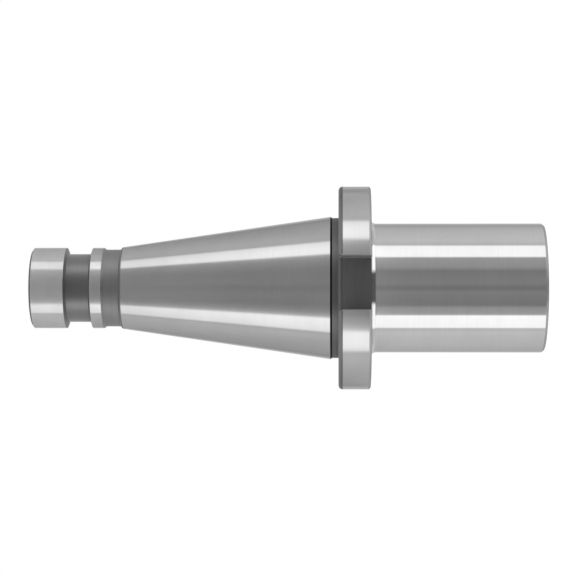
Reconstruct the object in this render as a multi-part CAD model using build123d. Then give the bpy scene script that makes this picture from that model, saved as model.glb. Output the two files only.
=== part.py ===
from build123d import *
import math
import os

# Steep taper shank, size 40. Sizes are in millimetres; heights run up from the nose face.
gauge_diameter = 44.45  # the cone measured across its gauge plane
steep_taper = 7 / 24  # diameter lost for each millimetre of length
shank_length = 93.4  # gauge plane to the rear face
cone_length = 65.4  # gauge plane to the small end of the ground cone
cone_setback = 0.95  # gauge plane to where the ground cone starts
cone_edge_run = 0.6  # length of the bevel from the neck up to the cone
cone_tail_run = 0.6  # length of the bevel from the cone down to the relief

# Rear end: relief, guide ring, gripping groove and pilot
relief_diameter = 23.9
relief_length = 4.5  # along the relief's floor
ring_flank_run = 0.7  # length of the slope from the relief up to the guide ring
ring_length = 3.4
groove_diameter = 21.1
groove_length = 6.9  # along the groove's floor
groove_flank_run = 0.65  # length of each sloping side of the groove
pilot_diameter = 25.0
pilot_bevel_run = 0.6
pilot_bevel_depth = 0.9

# Flange with its two drive slots
flange_diameter = 63.0
flange_thickness = 10.0
flange_gap = 1.6  # gauge plane to the flange's spindle side
flange_spindle_bevel_run = 1.3
flange_spindle_bevel_depth = 0.95
flange_nose_bevel_run = 0.8
flange_nose_bevel_depth = 0.55
neck_diameter = 43.45
slot_width = 16.1
slot_floor = 22.5  # flat floor of each slot measured from the axis
slot_corner_round = 0.4
slot_bevel_depth = 0.65  # on the spindle side, over the length of the flange's own bevel
slot_edge_break = 0.35  # along the rim

# Nose
nose_diameter = 40.0
nose_reach = 65.0  # gauge plane to the nose face
nose_bevel_run = 0.8
nose_bevel_depth = 0.62
nose_fillet = 1.5  # where the nose runs into the flange

# Morse taper 3 socket, open at the nose
socket_diameter = 23.825  # at the nose face
socket_taper = 1 / 19.922
socket_clearance_diameter = 20.2
socket_depth = 84.0
socket_mouth_bevel = 0.7
drill_point_angle = 120.0

# Draw-bar end, for an M16 thread
thread_diameter = 16.0
tapping_diameter = 14.0
tapped_length = 36.0  # counterbore's floor to the end of the tapping hole
counterbore_diameter = 17.0
counterbore_depth = 5.0
centre_bevel = 1.0
centre_bevel_angle = 60.0
passage_diameter = 13.0  # joins the draw-bar thread to the socket

rear_height = nose_reach + shank_length
flange_top = nose_reach - flange_gap
flange_base = flange_top - flange_thickness


def cone_radius(height):
    return (gauge_diameter - (height - nose_reach) * steep_taper) / 2


def drill_point(wide_diameter, narrow_diameter):
    # Length of the conical floor that a drill leaves between two bores.
    return (wide_diameter - narrow_diameter) / 2 / math.tan(math.radians(drill_point_angle / 2))


def nose_and_flange_corners():
    nose_radius = nose_diameter / 2
    flange_radius = flange_diameter / 2
    return [
        (nose_radius - nose_bevel_depth, 0),
        (nose_radius, nose_bevel_run),
        (nose_radius, flange_base),
        (flange_radius - flange_nose_bevel_depth, flange_base),
        (flange_radius, flange_base + flange_nose_bevel_run),
        (flange_radius, flange_top - flange_spindle_bevel_run),
        (flange_radius - flange_spindle_bevel_depth, flange_top),
        (neck_diameter / 2, flange_top),
    ]


def shank_corners():
    cone_start = nose_reach + cone_setback
    cone_end = nose_reach + cone_length
    relief_start = cone_end + cone_tail_run
    relief_end = relief_start + relief_length
    ring_start = relief_end + ring_flank_run
    ring_end = ring_start + ring_length
    groove_start = ring_end + groove_flank_run
    groove_end = groove_start + groove_length
    pilot_start = groove_end + groove_flank_run
    return [
        (neck_diameter / 2, cone_start - cone_edge_run),
        (cone_radius(cone_start), cone_start),
        (cone_radius(cone_end), cone_end),
        (relief_diameter / 2, relief_start),
        (relief_diameter / 2, relief_end),
        (pilot_diameter / 2, ring_start),
        (pilot_diameter / 2, ring_end),
        (groove_diameter / 2, groove_start),
        (groove_diameter / 2, groove_end),
        (pilot_diameter / 2, pilot_start),
        (pilot_diameter / 2, rear_height - pilot_bevel_run),
        (pilot_diameter / 2 - pilot_bevel_depth, rear_height),
    ]


def draw_bar_corners():
    centre_run = centre_bevel / math.tan(math.radians(centre_bevel_angle / 2))
    counterbore_floor = rear_height - counterbore_depth
    thread_bevel = (thread_diameter - tapping_diameter) / 2
    tapping_floor = counterbore_floor - tapped_length
    passage_top = tapping_floor - drill_point(tapping_diameter, passage_diameter)
    return [
        (counterbore_diameter / 2 + centre_bevel, rear_height),
        (counterbore_diameter / 2, rear_height - centre_run),
        (counterbore_diameter / 2, counterbore_floor),
        (thread_diameter / 2, counterbore_floor),
        (tapping_diameter / 2, counterbore_floor - thread_bevel),
        (tapping_diameter / 2, tapping_floor),
        (passage_diameter / 2, passage_top),
    ]


def socket_corners():
    passage_base = socket_depth + drill_point(socket_clearance_diameter, passage_diameter)
    seat_end = (socket_diameter - socket_clearance_diameter) / socket_taper
    mouth_radius = (socket_diameter - socket_mouth_bevel * socket_taper) / 2
    return [
        (passage_diameter / 2, passage_base),
        (socket_clearance_diameter / 2, socket_depth),
        (socket_clearance_diameter / 2, seat_end),
        (mouth_radius, socket_mouth_bevel),
        (mouth_radius + socket_mouth_bevel, 0),
    ]


def turned_blank():
    # Half section, turned once round: up the outside, then down through the bores.
    outside = nose_and_flange_corners() + shank_corners()
    inside = draw_bar_corners() + socket_corners()
    section = make_face(Polyline([(r, 0, z) for r, z in outside + inside], close=True)).face()
    nose_root = section.vertices().sort_by_distance((nose_diameter / 2, 0, flange_base))[0]
    section = section.fillet_2d(nose_fillet, [nose_root])
    return revolve(section, axis=Axis.Z)


def slot_profile(growth):
    # One slot seen along the axis, open past the rim, with its inner corners rounded and its edges
    # broken where they meet the rim. Growth widens it where a bevel opens it out.
    wall = slot_width / 2 + growth
    floor = slot_floor - growth
    mouth = math.sqrt((flange_diameter / 2) ** 2 - (slot_width / 2) ** 2) - slot_edge_break
    outer = flange_diameter / 2 + slot_edge_break
    flare = wall + outer - mouth
    outline = [(wall, floor), (wall, mouth), (flare, outer), (-flare, outer), (-wall, mouth), (-wall, floor)]
    profile = make_face(Polyline(outline, close=True)).face()
    inner_corners = profile.vertices().sort_by(Axis.Y)[:2]
    return profile.fillet_2d(slot_corner_round + growth, inner_corners)


def slot_cutter():
    # The slot runs past both faces of the flange and opens out in a bevel on the spindle side.
    overrun = flange_gap / 2
    straight = Pos(0, 0, flange_base - overrun) * slot_profile(0)
    cutter = extrude(straight, flange_thickness + 2 * overrun, dir=(0, 0, 1))
    wide = Pos(0, 0, flange_top) * slot_profile(slot_bevel_depth)
    narrow = Pos(0, 0, flange_top - flange_spindle_bevel_run) * slot_profile(0)
    cutter += loft([wide, narrow])
    return cutter + extrude(wide, overrun, dir=(0, 0, 1))


def sleeve():
    body = turned_blank()
    for turn in (0, 180):
        body -= Rot(0, 0, turn) * slot_cutter()
    return body


os.makedirs("parts", exist_ok=True)
part = sleeve()
export_step(part, "parts/sleeve.step")
print("sleeve volume", round(part.volume), "height", round(part.bounding_box().size.Z, 3))
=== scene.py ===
# Steep taper to Morse taper reducing sleeve, standing on its nose.
import math

import bpy
from mathutils import Matrix, Vector


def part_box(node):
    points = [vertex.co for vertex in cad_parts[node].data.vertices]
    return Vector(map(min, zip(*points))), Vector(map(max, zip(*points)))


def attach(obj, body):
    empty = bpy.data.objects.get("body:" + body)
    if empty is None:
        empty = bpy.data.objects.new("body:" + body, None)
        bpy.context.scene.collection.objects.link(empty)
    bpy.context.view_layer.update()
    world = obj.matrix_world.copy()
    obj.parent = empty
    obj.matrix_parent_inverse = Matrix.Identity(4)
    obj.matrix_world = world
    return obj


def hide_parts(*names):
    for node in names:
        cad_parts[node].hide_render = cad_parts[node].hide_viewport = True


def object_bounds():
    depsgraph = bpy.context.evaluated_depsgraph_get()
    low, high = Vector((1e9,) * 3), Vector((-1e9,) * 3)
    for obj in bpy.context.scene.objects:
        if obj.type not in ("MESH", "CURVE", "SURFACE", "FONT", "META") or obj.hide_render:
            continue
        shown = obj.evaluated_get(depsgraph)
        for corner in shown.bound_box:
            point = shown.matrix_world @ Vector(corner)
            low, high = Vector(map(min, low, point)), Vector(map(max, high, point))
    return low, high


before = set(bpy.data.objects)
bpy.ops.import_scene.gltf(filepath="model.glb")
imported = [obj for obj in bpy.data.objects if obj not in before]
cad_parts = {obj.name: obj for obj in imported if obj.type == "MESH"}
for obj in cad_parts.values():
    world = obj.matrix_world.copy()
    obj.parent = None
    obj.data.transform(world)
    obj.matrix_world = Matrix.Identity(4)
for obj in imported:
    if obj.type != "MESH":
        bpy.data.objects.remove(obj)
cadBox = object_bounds()
mm = 0.001
print("frame loaded")


def finishNode(tree, kind, **values):
    # a node with its settings and the inputs that take a plain number
    node = tree.nodes.new(kind)
    for name, value in values.items():
        if hasattr(node, name):
            setattr(node, name, value)
        else:
            node.inputs[name].default_value = value
    return node


def startMaterial(name):
    material = bpy.data.materials.new(name)
    material.use_nodes = True
    return material, material.node_tree, material.node_tree.nodes["Principled BSDF"]


# One entry per finish: tone is the metal's colour, except where a finish is marked as painted shade or
# painted light; grain the depth of the machining lines in thousandths of a millimetre, pitch their
# spacing in millimetres, mottle how uneven the tone is.
# Haze is how much of the steel is in dull specks too fine to see, at the nose face and at the rear
# end. Sheen lightens a dull surface where it turns away.
plainLook = dict(haze=(0, 0), sheen=0)  # where a finish says nothing else
steelFinish = dict(
    groundNose=dict(tone=0.72, roughness=0.08, grain=0.15, pitch=0.12, mottle=0.03),
    brightFillet=dict(tone=0.95, roughness=0.08, grain=0.15, pitch=0.12, mottle=0.03),
    groundCone=dict(tone=0.68, roughness=0.11, haze=(-0.44, 0.4), grain=0.2, pitch=0.12, mottle=0.03),
    groundRim=dict(tone=0.62, roughness=0.12, grain=0.2, pitch=0.12, mottle=0.03),
    groundRing=dict(tone=0.725, roughness=0.12, haze=(0.19, 0.19), grain=0.25, pitch=0.12, mottle=0.03),
    groundPilot=dict(tone=0.8, roughness=0.12, haze=(0.45, 0.45), grain=0.25, pitch=0.12, mottle=0.04),
    turnedFace=dict(tone=0.5, roughness=0.27, grain=0.8, pitch=0.25, mottle=0.05),
    dullBevel=dict(tone=0.55, roughness=0.5, grain=0.8, pitch=0.25, mottle=0.05),
    noseBevel=dict(tone=0.58, roughness=0.55, grain=0.8, pitch=0.25, mottle=0.05),
    darkFace=dict(tone=0.235, roughness=0.45, grain=0.8, pitch=0.25, mottle=0.05),
    darkBreak=dict(tone=0.36, roughness=0.45, grain=0.8, pitch=0.25, mottle=0.05),
    darkRelief=dict(tone=0.325, roughness=0.52, grain=1.2, pitch=0.3, mottle=0.06, sheen=0.2),
    grooveFloor=dict(tone=0.235, roughness=0.36, grain=1.2, pitch=0.3, mottle=0.06, sheen=0.6),
    grooveFlank=dict(tone=0.275, roughness=0.38, grain=1.2, pitch=0.3, mottle=0.06),
    pilotFlank=dict(tone=0.37, roughness=0.52, grain=1.2, pitch=0.3, mottle=0.06),
    darkNeck=dict(tone=0.21, roughness=0.42, grain=1.2, pitch=0.3, mottle=0.08),
    # the cone's small end and its tail step: dark oxide, darkened further as painted shade
    oxideAndShadeTail=dict(tone=0.26, roughness=0.42, grain=1.2, pitch=0.3, mottle=0.06),
    rearBevel=dict(tone=0.11, roughness=0.42, grain=0.8, pitch=0.25, mottle=0.05),
    # painted shade: a near-black tone standing in for the shade in the crease where the cone steps down
    # to the neck
    shadedConeRoot=dict(tone=0.05, roughness=0.6, grain=0.5, pitch=0.3, mottle=0.05),
    milledSlot=dict(tone=0.232, roughness=0.62, grain=1.0, pitch=0.5, mottle=0.06),
    slotBevel=dict(tone=0.17, roughness=0.42, grain=1.0, pitch=0.5, mottle=0.06),
    # the two slot walls are the same milled steel: a lighter copy as painted light and a near-black copy
    # as painted shade
    litSlotWall=dict(tone=0.35, roughness=0.75, grain=1.0, pitch=0.5, mottle=0.06),
    shadedSlotWall=dict(tone=0.06, roughness=0.6, grain=1.0, pitch=0.5, mottle=0.06),
    boredHole=dict(tone=0.4, roughness=0.3, grain=1.0, pitch=0.3, mottle=0.06),
)
dullSpeck = 0.85  # roughness of the dull specks
usualNoise = (0.3, 0.7)  # most of a noise texture's values lie between these
lineStretch = 100  # a machining line is this much longer than it is wide


def spread(tree, least, most):
    # Noise turned into values between least and most
    values = {"From Min": usualNoise[0], "From Max": usualNoise[1], "To Min": least, "To Max": most}
    return finishNode(tree, "ShaderNodeMapRange", **values)


def steel(name, look):
    # Ground and turned steel: fine rings round the axis, on walls and end faces alike
    material, tree, surface = startMaterial(name)
    link = tree.links.new
    place = finishNode(tree, "ShaderNodeTexCoord")
    split = finishNode(tree, "ShaderNodeSeparateXYZ")
    link(place.outputs["Object"], split.inputs[0])
    flat = finishNode(tree, "ShaderNodeCombineXYZ")
    link(split.outputs["X"], flat.inputs["X"])
    link(split.outputs["Y"], flat.inputs["Y"])
    radius = finishNode(tree, "ShaderNodeVectorMath", operation="LENGTH")
    link(flat.outputs[0], radius.inputs[0])
    across = finishNode(tree, "ShaderNodeMath", operation="ADD")
    link(split.outputs["Z"], across.inputs[0])
    link(radius.outputs["Value"], across.inputs[1])
    rings = finishNode(tree, "ShaderNodeCombineXYZ")
    link(split.outputs["X"], rings.inputs["X"])
    link(split.outputs["Y"], rings.inputs["Y"])
    link(across.outputs[0], rings.inputs["Z"])
    acrossLines = 1 / (look["pitch"] * mm)
    alongLines = acrossLines / lineStretch
    streaks = finishNode(tree, "ShaderNodeMapping")
    streaks.inputs["Scale"].default_value = (alongLines, alongLines, acrossLines)
    link(rings.outputs[0], streaks.inputs["Vector"])
    lines = finishNode(tree, "ShaderNodeTexNoise", Scale=1.0, Detail=3.0, Roughness=0.6)
    link(streaks.outputs[0], lines.inputs["Vector"])

    cloud = finishNode(tree, "ShaderNodeTexNoise", Scale=90.0, Detail=4.0, Roughness=0.55)
    link(place.outputs["Object"], cloud.inputs["Vector"])
    shade = spread(tree, look["tone"] * (1 - look["mottle"]), look["tone"] * (1 + look["mottle"]))
    link(cloud.outputs["Fac"], shade.inputs["Value"])
    lined = spread(tree, 1 - look["mottle"], 1 + look["mottle"])
    link(lines.outputs["Fac"], lined.inputs["Value"])
    tone = finishNode(tree, "ShaderNodeMath", operation="MULTIPLY")
    link(shade.outputs[0], tone.inputs[0])
    link(lined.outputs[0], tone.inputs[1])
    colour = finishNode(tree, "ShaderNodeCombineColor")
    for channel in ("Red", "Green", "Blue"):
        link(tone.outputs[0], colour.inputs[channel])
    link(colour.outputs[0], surface.inputs["Base Color"])

    surface.inputs["Roughness"].default_value = look["roughness"]
    if any(look["haze"]):
        share = finishNode(tree, "ShaderNodeMapRange")
        link(split.outputs["Z"], share.inputs["Value"])
        share.inputs["From Max"].default_value = cadBox[1][2]
        share.inputs["To Min"].default_value = look["haze"][0]
        share.inputs["To Max"].default_value = look["haze"][1]
        specks = finishNode(tree, "ShaderNodeTexWhiteNoise", noise_dimensions="3D")
        link(place.outputs["Object"], specks.inputs["Vector"])
        hazy = finishNode(tree, "ShaderNodeMath", operation="LESS_THAN")
        link(specks.outputs["Value"], hazy.inputs[0])
        link(share.outputs[0], hazy.inputs[1])
        rough = finishNode(tree, "ShaderNodeMapRange")
        link(hazy.outputs[0], rough.inputs["Value"])
        rough.inputs["To Min"].default_value = look["roughness"]
        rough.inputs["To Max"].default_value = dullSpeck
        link(rough.outputs[0], surface.inputs["Roughness"])

    bump = finishNode(tree, "ShaderNodeBump", Strength=1.0, Distance=look["grain"] * mm / 1000)
    link(lines.outputs["Fac"], bump.inputs["Height"])
    link(bump.outputs[0], surface.inputs["Normal"])
    surface.inputs["Metallic"].default_value = 1.0
    surface.inputs["Sheen Weight"].default_value = look["sheen"]
    return material


finishes = list(steelFinish)
materials = [steel(name, plainLook | steelFinish[name]) for name in finishes]
print("materials made:", ", ".join(finishes))

_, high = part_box("sleeve")
rim = high.x / mm  # the flange's radius
rearEnd = high.z / mm

# Everything turned, in millimetres; heights run up from the nose face
sleeve = dict(
    sides=256,
    edge=0.1,  # tiny round on every turned edge
    edgeSteps=4,
    edgeShare=0.4,  # a round takes no more than this of the stretch beside it
    merge=0.0005,  # corners closer than this become one
    smoothAngle=32,  # degrees
    rearInset=0.001,  # keeps the rear face within the frame's box
    gaugeRadius=22.225,
    taper=7 / 48,  # radius lost for each millimetre of height
    noseReach=65.0,
    noseRadius=20.0,
    noseBevel=(0.8, 0.62),  # length, depth
    noseFillet=1.5,
    filletLate=2,  # first steps of the fillet that still look like the nose
    flangeThickness=10.0,
    flangeGap=1.6,
    spindleBevel=(1.3, 1.35),  # the rim's two bevels are worn round: length, depth
    flangeNoseBevel=(0.8, 1.05),
    arcSteps=10,
    neckRadius=21.725,
    coneSetback=0.95,
    coneEdgeRun=0.6,
    coneLength=65.4,
    coneTailRun=0.6,
    coneUnground=0.28,  # at the cone's small end, where the grinding stops short
    reliefRadius=11.95,
    reliefLength=4.5,
    ringFlankRun=0.7,
    ringLength=3.4,
    grooveRadius=10.55,
    grooveLength=6.9,
    grooveFlankRun=0.65,
    pilotRadius=12.5,
    pilotBevel=(0.6, 0.9),
)

bores = dict(
    counterboreRadius=8.5,
    counterboreDepth=5.0,
    centreBevel=(1.732, 1.0),
    threadRadius=8.0,
    tappingRadius=7.0,
    tappedLength=36.0,
    passageRadius=6.5,
    drillSlope=0.5774,  # height of a drilled floor for each millimetre of radius
    socketMouth=11.9125,
    socketTaper=0.0251,
    socketMouthBevel=0.7,
    socketClearance=10.1,
    socketDepth=84.0,
)


def arc(centre, reach, start, end, before, finish, late=0):
    # Corners of a quarter round from the angle start to end, in degrees: 0 is outwards, 90 is up.
    # Reach is its size outwards and upwards. Its first corners, as many as late says and one more,
    # keep the finish of the wall before it.
    spots = []
    for step in range(sleeve["arcSteps"] + 1):
        turn = math.radians(start + (end - start) * step / sleeve["arcSteps"])
        r = centre[0] + reach[0] * math.cos(turn)
        z = centre[1] + reach[1] * math.sin(turn)
        spots.append((r, z, finish if step > late else before, 0))
    return spots


def outsideCorners():
    # (radius, height, finish of the stretch that ends here, round)
    s = sleeve
    top = s["noseReach"] - s["flangeGap"]
    base = top - s["flangeThickness"]
    end = rearEnd - s["rearInset"]

    def cone(height):
        return s["gaugeRadius"] - (height - s["noseReach"]) * s["taper"]

    coneStart = s["noseReach"] + s["coneSetback"]
    coneEnd = s["noseReach"] + s["coneLength"]
    groundEnd = coneEnd - s["coneUnground"]
    reliefStart = coneEnd + s["coneTailRun"]
    reliefEnd = reliefStart + s["reliefLength"]
    ringStart = reliefEnd + s["ringFlankRun"]
    ringEnd = ringStart + s["ringLength"]
    grooveStart = ringEnd + s["grooveFlankRun"]
    grooveEnd = grooveStart + s["grooveLength"]
    pilotStart = grooveEnd + s["grooveFlankRun"]
    edge = s["edge"]
    fillet = s["noseFillet"]
    filletCentre = (s["noseRadius"] + fillet, base - fillet)
    noseRun, noseDepth = s["flangeNoseBevel"]
    noseCentre = (rim - noseDepth, base + noseRun)
    spindleRun, spindleDepth = s["spindleBevel"]
    spindleCentre = (rim - spindleDepth, top - spindleRun)
    return [
        (s["noseRadius"] - s["noseBevel"][1], 0, "turnedFace", edge),
        (s["noseRadius"], s["noseBevel"][0], "noseBevel", edge),
        *arc(filletCentre, (fillet, fillet), 180, 90, "groundNose", "brightFillet", s["filletLate"]),
        *arc(noseCentre, (noseDepth, noseRun), -90, 0, "groundRim", "dullBevel"),
        *arc(spindleCentre, (spindleDepth, spindleRun), 0, 90, "groundRim", "darkFace"),
        (s["neckRadius"], top, "darkFace", edge),
        (s["neckRadius"], coneStart - s["coneEdgeRun"], "darkNeck", edge),
        # the step from the neck up to the cone carries painted shade
        (cone(coneStart), coneStart, "shadedConeRoot", edge),
        (cone(groundEnd), groundEnd, "groundCone", 0),
        # the cone's small end and the step down to the relief: dark oxide with painted shade
        (cone(coneEnd), coneEnd, "oxideAndShadeTail", edge),
        (s["reliefRadius"], reliefStart, "oxideAndShadeTail", edge),
        (s["reliefRadius"], reliefEnd, "darkRelief", edge),
        (s["pilotRadius"], ringStart, "darkRelief", edge),
        (s["pilotRadius"], ringEnd, "groundRing", edge),
        (s["grooveRadius"], grooveStart, "grooveFlank", edge),
        (s["grooveRadius"], grooveEnd, "grooveFloor", edge),
        (s["pilotRadius"], pilotStart, "pilotFlank", edge),
        (s["pilotRadius"], end - s["pilotBevel"][0], "groundPilot", edge),
        (s["pilotRadius"] - s["pilotBevel"][1], end, "rearBevel", edge),
    ]


def insideCorners():
    b = bores
    end = rearEnd - sleeve["rearInset"]
    floor = end - b["counterboreDepth"]
    tapFloor = floor - b["tappedLength"]
    threadEdge = b["threadRadius"] - b["tappingRadius"]
    passageTop = tapFloor - (b["tappingRadius"] - b["passageRadius"]) * b["drillSlope"]
    passageBase = b["socketDepth"] + (b["socketClearance"] - b["passageRadius"]) * b["drillSlope"]
    seatEnd = (b["socketMouth"] - b["socketClearance"]) / b["socketTaper"]
    mouth = b["socketMouth"] - b["socketMouthBevel"] * b["socketTaper"]
    edge = sleeve["edge"]
    return [
        (b["counterboreRadius"] + b["centreBevel"][1], end, "turnedFace", edge),
        (b["counterboreRadius"], end - b["centreBevel"][0], "groundPilot", edge),
        (b["counterboreRadius"], floor, "boredHole", edge),
        (b["threadRadius"], floor, "boredHole", 0),
        (b["tappingRadius"], floor - threadEdge, "boredHole", 0),
        (b["tappingRadius"], tapFloor, "boredHole", 0),
        (b["passageRadius"], passageTop, "boredHole", 0),
        (b["passageRadius"], passageBase, "boredHole", 0),
        (b["socketClearance"], b["socketDepth"], "boredHole", 0),
        (b["socketClearance"], seatEnd, "boredHole", 0),
        (mouth, b["socketMouthBevel"], "groundCone", edge),
        (mouth + b["socketMouthBevel"], 0, "turnedFace", edge),
    ]


def rounded(corners):
    # Swaps each corner that has a round for the points of its arc; the list is a closed outline
    path = []
    count = len(corners)
    for i, (r, z, finish, size) in enumerate(corners):
        here = Vector((r, z))
        back = Vector(corners[i - 1][:2]) - here
        ahead = Vector(corners[(i + 1) % count][:2]) - here
        nextFinish = corners[(i + 1) % count][2]
        if not size:
            path.append((here.x, here.y, finish))
            continue
        half = back.angle(ahead) / 2
        most = min(back.length, ahead.length) * sleeve["edgeShare"]
        reach = min(size / math.tan(half), most)
        size = reach * math.tan(half)
        centre = here + (back.normalized() + ahead.normalized()).normalized() * size / math.sin(half)
        first = here + back.normalized() * reach - centre
        turn = first.angle_signed(here + ahead.normalized() * reach - centre)
        steps = sleeve["edgeSteps"]
        for step in range(steps + 1):
            spot = first.copy()
            spot.rotate(Matrix.Rotation(-turn * step / steps, 2))
            on = finish if step <= steps / 2 else nextFinish
            path.append((centre.x + spot.x, centre.y + spot.y, on))
    return path


def turned(name, path):
    # Lathe work: a ring is extruded from corner to corner and sized as it goes
    bpy.ops.object.select_all(action="DESELECT")
    r, z, _ = path[0]
    bpy.ops.mesh.primitive_circle_add(vertices=sleeve["sides"], radius=r * mm, location=(0, 0, z * mm))
    work = bpy.context.object
    work.name = work.data.name = name
    bpy.ops.object.transform_apply(location=True)
    for material in materials:
        work.data.materials.append(material)
    bpy.ops.object.mode_set(mode="EDIT")
    bpy.ops.mesh.select_all(action="SELECT")
    for (r1, z1, _), (r2, z2, _) in zip(path, path[1:] + path[:1]):
        bpy.ops.mesh.extrude_region_move(TRANSFORM_OT_translate={"value": (0, 0, (z2 - z1) * mm)})
        bpy.ops.transform.resize(value=(r2 / r1, r2 / r1, 1), center_override=(0, 0, z2 * mm))
    bpy.ops.object.mode_set(mode="OBJECT")
    for face in work.data.polygons:
        stretch = (face.index // sleeve["sides"] + 1) % len(path)
        face.material_index = finishes.index(path[stretch][2])
    bpy.ops.object.mode_set(mode="EDIT")
    bpy.ops.mesh.select_all(action="SELECT")
    bpy.ops.mesh.remove_doubles(threshold=sleeve["merge"] * mm)
    bpy.ops.mesh.normals_make_consistent(inside=False)
    bpy.ops.object.mode_set(mode="OBJECT")
    return work


def cutAway(work, tool):
    # Takes the tool's shape out of the work and puts the tool away
    cut = work.modifiers.new("cut", "BOOLEAN")
    cut.operation = "DIFFERENCE"
    cut.solver = "EXACT"
    cut.object = tool
    bpy.ops.object.select_all(action="DESELECT")
    bpy.context.view_layer.objects.active = work
    work.select_set(True)
    bpy.ops.object.modifier_apply(modifier=cut.name)
    bpy.data.objects.remove(tool)


body = turned("sleeveBody", rounded(outsideCorners() + insideCorners()))
print("turned blank:", len(body.data.polygons), "faces")

slot = dict(
    width=16.1,
    floor=22.5,  # from the axis
    cornerRound=0.4,
    cornerSteps=6,
    edgeBreak=0.35,  # along the rim
    bevel=0.65,  # on the spindle side
    overrun=0.8,
    margin=0.01,  # for picking what lies at the floor or the mouth
)


def slotTool(turn):
    # The slot seen along the axis, drawn as a face, then pulled up through the flange
    s = sleeve
    top = s["noseReach"] - s["flangeGap"]
    base = top - s["flangeThickness"]
    half = slot["width"] / 2
    mouth = math.sqrt(rim**2 - half**2) - slot["edgeBreak"]
    outer = rim + slot["edgeBreak"]
    start = base - slot["overrun"]
    bpy.ops.object.select_all(action="DESELECT")
    bpy.ops.mesh.primitive_plane_add(size=1, location=(0, (slot["floor"] + mouth) / 2 * mm, start * mm))
    tool = bpy.context.object
    tool.name = "slotTool"
    tool.scale = (slot["width"] * mm, (mouth - slot["floor"]) * mm, 1)
    bpy.ops.object.transform_apply(location=True, scale=True)
    for material in materials:
        tool.data.materials.append(material)
    tool.data.polygons[0].material_index = finishes.index("milledSlot")

    def pick(test, kind):
        bpy.ops.object.mode_set(mode="EDIT")
        bpy.ops.mesh.select_mode(type=kind)
        bpy.ops.mesh.select_all(action="DESELECT")
        bpy.ops.object.mode_set(mode="OBJECT")
        for vertex in tool.data.vertices:
            vertex.select = test(vertex.co)
        if kind != "VERT":
            chosen = {v.index for v in tool.data.vertices if v.select}
            for edge in tool.data.edges:
                edge.select = set(edge.vertices) <= chosen
        bpy.ops.object.mode_set(mode="EDIT")

    # flared mouth, then rounded inner corners
    pick(lambda co: co.y > (mouth - slot["margin"]) * mm, "EDGE")
    bpy.ops.mesh.extrude_region_move(TRANSFORM_OT_translate={"value": (0, (outer - mouth) * mm, 0)})
    widened = (half + outer - mouth) / half
    bpy.ops.transform.resize(value=(widened, 1, 1), center_override=(0, outer * mm, start * mm))
    pick(lambda co: co.y < (slot["floor"] + slot["margin"]) * mm, "VERT")
    bpy.ops.mesh.bevel(
        offset=slot["cornerRound"] * mm, segments=slot["cornerSteps"], affect="VERTICES"
    )

    def grow(amount, height):
        bpy.ops.transform.resize(
            value=((half + amount) / half, (outer - slot["floor"] + amount) / (outer - slot["floor"]), 1),
            center_override=(0, outer * mm, height * mm),
        )

    def pull(length):
        bpy.ops.mesh.extrude_region_move(TRANSFORM_OT_translate={"value": (0, 0, length * mm)})

    bpy.ops.mesh.select_mode(type="FACE")
    bpy.ops.mesh.select_all(action="SELECT")
    pull(slot["overrun"] + s["flangeThickness"] - s["spindleBevel"][0])
    pull(s["spindleBevel"][0])
    grow(slot["bevel"], top)
    pull(slot["overrun"])
    bpy.ops.mesh.select_all(action="SELECT")
    bpy.ops.mesh.normals_make_consistent(inside=False)
    bpy.ops.object.mode_set(mode="OBJECT")
    # a face's normal tells the flared mouth, the side walls and the slope on the spindle side
    upright, sideways = 0.5, 0.3
    slopeLeast, slopeMost = 0.1, 0.9
    for face in tool.data.polygons:
        lean = face.normal
        if face.center.y > mouth * mm and abs(lean.z) < upright:
            face.material_index = finishes.index("darkBreak")
        # the upper wall in the picture gets the lit copy, painted light; the lower wall the dark copy,
        # painted shade
        elif lean.x < -sideways:
            face.material_index = finishes.index("litSlotWall")
        elif lean.x > sideways:
            face.material_index = finishes.index("shadedSlotWall")
        elif slopeLeast < abs(lean.z) < slopeMost:
            face.material_index = finishes.index("slotBevel")
    tool.rotation_euler.z = turn
    bpy.ops.object.transform_apply(rotation=True)
    return tool


for turn in (0, math.pi):
    cutAway(body, slotTool(turn))
print("drive slots cut:", len(body.data.polygons), "faces")

thread = dict(
    pitch=2.0,
    crest=0.25,
    tapRadius=6.8,
    flank=0.5774,  # rise for each millimetre of depth
    length=33.0,
    steps=64,  # in one turn
    spareTurns=3,
    overrun=1.0,
    merge=0.001,
)


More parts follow.
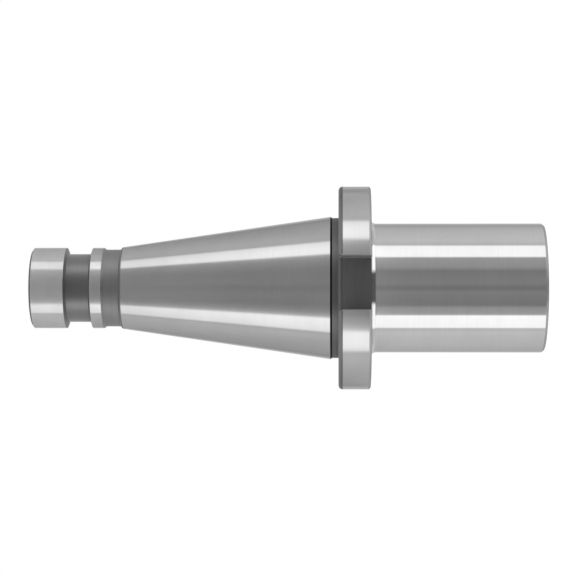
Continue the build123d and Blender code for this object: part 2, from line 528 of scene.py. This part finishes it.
def threadTool():
    # A tap: one pitch of the thread's section, screwed up the axis and squared off at both ends
    b = bores
    start = rearEnd - b["counterboreDepth"] - thread["length"]
    end = start + thread["length"] + thread["overrun"]
    deep = b["threadRadius"] - thread["tapRadius"]
    rise = deep * thread["flank"]
    root = thread["pitch"] - thread["crest"] - 2 * rise
    bpy.ops.object.select_all(action="DESELECT")
    bpy.ops.mesh.primitive_plane_add(
        size=mm, location=(thread["tapRadius"] * mm, 0, (start - thread["pitch"]) * mm)
    )
    tool = bpy.context.object
    tool.name = "threadTool"
    bpy.ops.object.transform_apply(location=True)
    for material in materials:
        tool.data.materials.append(material)
    bpy.ops.object.mode_set(mode="EDIT")
    bpy.ops.mesh.select_mode(type="VERT")
    bpy.ops.mesh.select_all(action="SELECT")
    bpy.ops.mesh.merge(type="CENTER")
    for out, up in ((0, root), (deep, rise), (0, thread["crest"]), (-deep, rise)):
        bpy.ops.mesh.extrude_region_move(TRANSFORM_OT_translate={"value": (out * mm, 0, up * mm)})
    bpy.ops.object.mode_set(mode="OBJECT")
    screw = tool.modifiers.new("screw", "SCREW")
    screw.screw_offset = thread["pitch"] * mm
    screw.iterations = math.ceil(thread["length"] / thread["pitch"]) + thread["spareTurns"]
    screw.steps = screw.render_steps = thread["steps"]
    screw.use_merge_vertices = True
    screw.merge_threshold = thread["merge"] * mm
    bpy.ops.object.modifier_apply(modifier=screw.name)
    bpy.ops.object.mode_set(mode="EDIT")
    bpy.ops.mesh.select_all(action="SELECT")
    bpy.ops.mesh.remove_doubles(threshold=thread["merge"] * mm)
    bpy.ops.mesh.normals_make_consistent(inside=False)
    for height, keepAbove in ((start, True), (end, False)):
        bpy.ops.mesh.select_all(action="SELECT")
        bpy.ops.mesh.bisect(
            plane_co=(0, 0, height * mm),
            plane_no=(0, 0, 1),
            use_fill=True,
            clear_inner=keepAbove,
            clear_outer=not keepAbove,
        )
    bpy.ops.mesh.select_all(action="SELECT")
    bpy.ops.mesh.normals_make_consistent(inside=False)
    bpy.ops.object.mode_set(mode="OBJECT")
    for face in tool.data.polygons:
        face.material_index = finishes.index("boredHole")
    return tool


cutAway(body, threadTool())
print("draw-bar thread cut:", len(body.data.polygons), "faces")


def smoothed(work, angle):
    bpy.ops.object.select_all(action="DESELECT")
    bpy.context.view_layer.objects.active = work
    work.select_set(True)
    bpy.ops.object.shade_smooth_by_angle(angle=math.radians(angle))
    even = work.modifiers.new("even", "WEIGHTED_NORMAL")
    even.keep_sharp = True
    even.weight = 100  # large faces decide
    bpy.ops.object.modifier_apply(modifier=even.name)


smoothed(body, sleeve["smoothAngle"])
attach(body, "root")
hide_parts("sleeve")
print("sleeve finished")

# Studio: the camera looks straight at the sleeve from its side, rolled so that the nose is on the right
view = dict(
    distance=0.666,
    height=0.06355,  # nearer the nose than the middle
    turn=3.25,  # degrees, so the slot sits a little above the middle
    focal=2143.4,  # in pixels of the photo's frame
    framePixels=576,
    sensor=36,  # millimetres
    clip=(0.01, 50),  # metres
    footPixel=338.0,  # column that lies square in front of the camera
)


def addCamera():
    turn = math.radians(view["turn"])
    spot = Vector((-math.sin(turn), -math.cos(turn), 0)) * view["distance"]
    spot.z = view["height"]
    up = Vector((math.cos(turn), -math.sin(turn), 0))
    tilt = math.atan((view["footPixel"] - view["framePixels"] / 2) / view["focal"])
    level = Vector((math.sin(turn), math.cos(turn), 0))
    ahead = level * math.cos(tilt) + Vector((0, 0, math.sin(tilt)))
    right = ahead.cross(up)
    data = bpy.data.cameras.new("camera")
    data.sensor_width = view["sensor"]
    data.lens = view["focal"] * data.sensor_width / view["framePixels"]
    camera = bpy.data.objects.new("camera", data)
    bpy.context.scene.collection.objects.link(camera)
    turnTo = Matrix((right, up, -ahead)).transposed().to_4x4()
    camera.matrix_world = Matrix.Translation(spot) @ turnTo
    data.clip_start, data.clip_end = view["clip"]
    bpy.context.scene.camera = camera


addCamera()

# The room that the steel mirrors, as brightness by the angle round the sleeve in degrees: 0 is
# where the camera stands, positive the picture's upper half. Start is where each wall takes over
# from the one before, as the sine of the angle above the horizon. The pilot end stands upright and
# the cone leans back, so they mirror different walls.
room = dict(
    towardsNose=dict(
        levels=[
            (-180, 0.33), (-110, 0.45), (-77, 0.47), (-75.5, 1.0), (-31, 1.0), (-24, 0.09),
            (26, 0.09), (34, 1.05), (81, 1.05), (83, 0.45), (110, 0.44), (180, 0.33),
        ],
    ),
    besideNose=dict(
        start=(-0.5, -0.4),
        levels=[
            (-180, 0.38), (-140, 0.52), (-122, 0.59), (-97, 0.645), (-86, 0.69), (-76.2, 0.6),
            (-74.6, 1.27), (-56, 1.31), (-50, 1.38), (-48.6, 0.46), (-46.5, 0.44),
            (-35.5, 0.375), (-30.2, 0.238), (-20, 0.248), (-7, 0.272), (-1.5, 0.215),
            (1.5, 0.215), (8, 0.272), (18, 0.26), (30.5, 0.238), (37, 0.36), (50, 0.405),
            (55.7, 0.39), (57.1, 1.3), (80.2, 1.26), (81.8, 0.58), (92, 0.68), (106, 0.65),
            (126, 0.58), (146, 0.43), (180, 0.35),
        ],
    ),
    besideFlange=dict(
        start=(-0.0135, -0.0125),
        levels=[
            (-180, 0.5), (-152, 0.47), (-143, 0.38), (-136, 0.44), (-125, 0.465), (-107, 0.55),
            (-90, 0.66), (-77.5, 0.67), (-74.5, 1.05), (-69, 1.34), (-56, 1.42), (-51, 1.4),
            (-46, 0.92), (-41, 0.7), (-34, 0.565), (-27, 0.45), (0, 0.35), (27, 0.4), (40, 0.46),
            (50, 0.66), (55, 0.92), (57.5, 1.2), (59, 1.45), (65, 1.5), (73, 1.4), (80, 1.2),
            (82, 0.66), (92, 0.65), (120, 0.52), (133, 0.56), (140, 0.4), (180, 0.55),
        ],
    ),
    besidePilot=dict(
        start=(0.02, 0.05),
        levels=[
            (-180, 0.31), (-147, 0.35), (-135, 0.41), (-117, 0.46), (-97, 0.52),
            (-85, 0.57), (-77, 0.53), (-75.2, 1.12), (-60, 1.26), (-50, 1.32), (-45.5, 0.9),
            (-42, 0.53), (-37, 0.42), (-28, 0.3), (-10, 0.28), (-1.5, 0.25),
            (1.5, 0.25), (9, 0.28), (28, 0.32), (37, 0.38), (49, 0.48),
            (54, 0.68), (57.2, 1.28), (68, 1.26), (80, 1.08), (81.8, 0.54), (92, 0.55),
            (113, 0.47), (130, 0.41), (146, 0.34), (180, 0.3),
        ],
    ),
    besideCone=dict(
        start=(0.18, 0.24),
        levels=[
            (-180, 0.34), (-147, 0.38), (-135, 0.435), (-117, 0.49), (-97, 0.56),
            (-85, 0.61), (-77, 0.53), (-75.2, 1.08), (-60, 1.22), (-50, 1.28), (-48.5, 0.66),
            (-43, 0.43), (-38, 0.335), (-28, 0.265), (-10, 0.28), (-1.5, 0.25),
            (1.5, 0.25), (9, 0.28), (28, 0.27), (37, 0.3), (49, 0.37),
            (55.5, 0.5), (57.2, 1.25), (68, 1.22), (80, 1.08), (81.8, 0.54), (92, 0.57),
            (113, 0.49), (130, 0.435), (146, 0.37), (180, 0.33),
        ],
    ),
    towardsRear=dict(start=(0.45, 0.65), levels=[(-180, 0.8), (180, 0.8)]),
)
behind = dict(start=(0.86, 0.94), level=0.55)  # even wall behind the sleeve, so that no seam shows
colourSockets = dict(first=6, second=7, result=2)  # of a Mix node


def takeOver(tree, direction, start, before):
    # A Mix node that leaves the wall before for the one on its second socket
    link = tree.links.new
    fade = finishNode(tree, "ShaderNodeMapRange", interpolation_type="SMOOTHSTEP")
    fade.inputs["From Min"].default_value = start[0]
    fade.inputs["From Max"].default_value = start[1]
    link(direction, fade.inputs["Value"])
    blend = finishNode(tree, "ShaderNodeMix", data_type="RGBA")
    link(fade.outputs[0], blend.inputs["Factor"])
    link(before, blend.inputs[colourSockets["first"]])
    return blend


def addRoom():
    world = bpy.data.worlds.new("room")
    bpy.context.scene.world = world
    world.use_nodes = True
    tree = world.node_tree
    tree.nodes.clear()
    link = tree.links.new
    place = finishNode(tree, "ShaderNodeTexCoord")
    faced = finishNode(tree, "ShaderNodeMapping")
    faced.inputs["Rotation"].default_value = (0, 0, math.radians(view["turn"]))
    link(place.outputs["Generated"], faced.inputs["Vector"])
    split = finishNode(tree, "ShaderNodeSeparateXYZ")
    link(faced.outputs[0], split.inputs[0])
    # half the angle, so that a wall stays on the same side of the sleeve on fillets and bevels
    depth = finishNode(tree, "ShaderNodeMath", operation="SUBTRACT")
    depth.inputs[0].default_value = 1
    link(split.outputs["Y"], depth.inputs[1])
    half = finishNode(tree, "ShaderNodeMath", operation="ARCTAN2")
    link(split.outputs["X"], half.inputs[0])
    link(depth.outputs[0], half.inputs[1])
    span = finishNode(tree, "ShaderNodeMapRange")
    span.inputs["From Min"].default_value = -math.pi / 2
    span.inputs["From Max"].default_value = math.pi / 2
    link(half.outputs[0], span.inputs["Value"])
    shade = None
    for part in room.values():
        wall = finishNode(tree, "ShaderNodeValToRGB")
        link(span.outputs[0], wall.inputs[0])
        ramp = wall.color_ramp
        for i, (angle, level) in enumerate(part["levels"]):
            spot = (angle + 180) / 360
            stop = ramp.elements[i] if i < 2 else ramp.elements.new(spot)
            stop.position = spot
            stop.color = (level, level, level, 1)
        if shade is None:
            shade = wall.outputs[0]
            continue
        blend = takeOver(tree, split.outputs["Z"], part["start"], shade)
        link(wall.outputs[0], blend.inputs[colourSockets["second"]])
        shade = blend.outputs[colourSockets["result"]]
    blend = takeOver(tree, split.outputs["Y"], behind["start"], shade)
    blend.inputs[colourSockets["second"]].default_value = (behind["level"],) * 3 + (1,)
    shade = blend.outputs[colourSockets["result"]]
    mirrored = finishNode(tree, "ShaderNodeBackground")
    link(shade, mirrored.inputs["Color"])
    white = finishNode(tree, "ShaderNodeBackground")
    white.inputs["Color"].default_value = (1, 1, 1, 1)
    ray = finishNode(tree, "ShaderNodeLightPath")
    seen = finishNode(tree, "ShaderNodeMixShader")
    link(ray.outputs["Is Camera Ray"], seen.inputs[0])
    link(mirrored.outputs[0], seen.inputs[1])
    link(white.outputs[0], seen.inputs[2])
    out = finishNode(tree, "ShaderNodeOutputWorld")
    link(seen.outputs[0], out.inputs["Surface"])


addRoom()

floorLook = dict(
    size=60.0,  # metres
    drop=0.1,  # millimetres under the nose face
    glow=1.02,
    paint=0.12,
)


def addFloor():
    bpy.ops.object.select_all(action="DESELECT")
    height = -floorLook["drop"] * mm
    bpy.ops.mesh.primitive_plane_add(size=floorLook["size"], location=(0, 0, height))
    floor = bpy.context.object
    floor.name = "floor"
    material, tree, surface = startMaterial("paleFloor")
    surface.inputs["Base Color"].default_value = (floorLook["paint"],) * 3 + (1,)
    surface.inputs["Roughness"].default_value = 1.0
    surface.inputs["Specular IOR Level"].default_value = 0.0
    surface.inputs["Emission Color"].default_value = (1, 1, 1, 1)
    surface.inputs["Emission Strength"].default_value = floorLook["glow"]
    floor.data.materials.append(material)
    floor.visible_glossy = False


addFloor()
bpy.context.scene.view_settings.view_transform = "Standard"
print("studio set")
